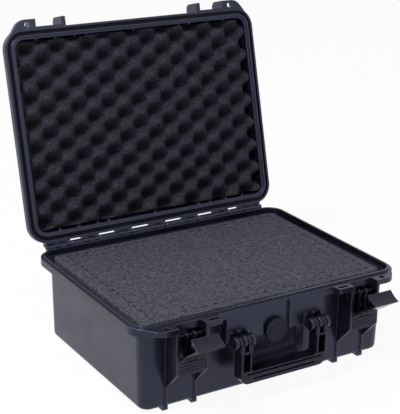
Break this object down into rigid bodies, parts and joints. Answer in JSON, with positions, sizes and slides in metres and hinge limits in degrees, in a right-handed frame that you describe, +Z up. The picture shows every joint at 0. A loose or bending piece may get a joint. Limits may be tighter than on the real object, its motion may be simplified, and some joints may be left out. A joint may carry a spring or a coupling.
{
  "type": "microphone case",
  "caption": "Hard black waterproof case, lid open on a full-width hinge, draw latches, folding handle, pressure valve, pluck foam below and egg-crate foam in the lid.",
  "frame": {"origin": "middle of the flat panel under the case, between the feet", "axes": "+X to the right along the front, +Y from the latches towards the hinge, +Z up"},
  "size_m": [0.464, 0.5377, 0.4954],
  "materials": {
    "shell": "satin",
    "pins": "satin",
    "seal": "matte",
    "foam": "matte"
  },
  "bodies": {
    "base": {"base_shell": "shell", "base_foam_pad": "foam", "base_foam_pluck_lower": "foam", "base_foam_pluck_upper": "foam", "hinge_pin": "pins", "latch_pivot_pin_left": "pins", "latch_pivot_pin_right": "pins", "handle_pin_left": "pins", "handle_pin_right": "pins", "valve_body": "shell", "valve_nut": "shell", "valve_seal": "seal"},
    "lid": {"lid_shell": "shell", "lid_gasket": "seal", "lid_foam": "foam"},
    "lever_left": {"latch_lever_left": "shell", "latch_link_pin_left": "pins"},
    "lever_right": {"latch_lever_right": "shell", "latch_link_pin_right": "pins"},
    "clasp_left": {"latch_clasp_left": "shell"},
    "clasp_right": {"latch_clasp_right": "shell"},
    "handle": {"handle": "shell"},
    "valve_knob": {"valve_knob": "shell"}
  },
  "joints": [
    {"name": "lid_hinge", "type": "hinge", "parent": "base", "child": "lid", "pos_m": [0, 0.1786, 0.13625], "axis": [-1, 0, 0], "range_deg": [-104.35, 0]},
    {"name": "lever_left_pivot", "type": "hinge", "parent": "base", "child": "lever_left", "pos_m": [-0.1525, -0.177, 0.119], "axis": [-1, 0, 0], "range_deg": [0, 75]},
    {"name": "clasp_left_link", "type": "hinge", "parent": "lever_left", "child": "clasp_left", "pos_m": [-0.1525, -0.1835, 0.086], "axis": [1, 0, 0], "range_deg": [-51, 0]},
    {"name": "lever_right_pivot", "type": "hinge", "parent": "base", "child": "lever_right", "pos_m": [0.1525, -0.177, 0.119], "axis": [-1, 0, 0], "range_deg": [0, 75]},
    {"name": "clasp_right_link", "type": "hinge", "parent": "lever_right", "child": "clasp_right", "pos_m": [0.1525, -0.1835, 0.086], "axis": [1, 0, 0], "range_deg": [-51, 0]},
    {"name": "handle_swing", "type": "hinge", "parent": "base", "child": "handle", "pos_m": [0, -0.184, 0.091], "axis": [-1, 0, 0], "range_deg": [0, 95]},
    {"name": "valve_turn", "type": "hinge", "parent": "base", "child": "valve_knob", "pos_m": [0, -0.173, 0.089], "axis": [0, -1, 0], "range_deg": [0, 180]}
  ]
}
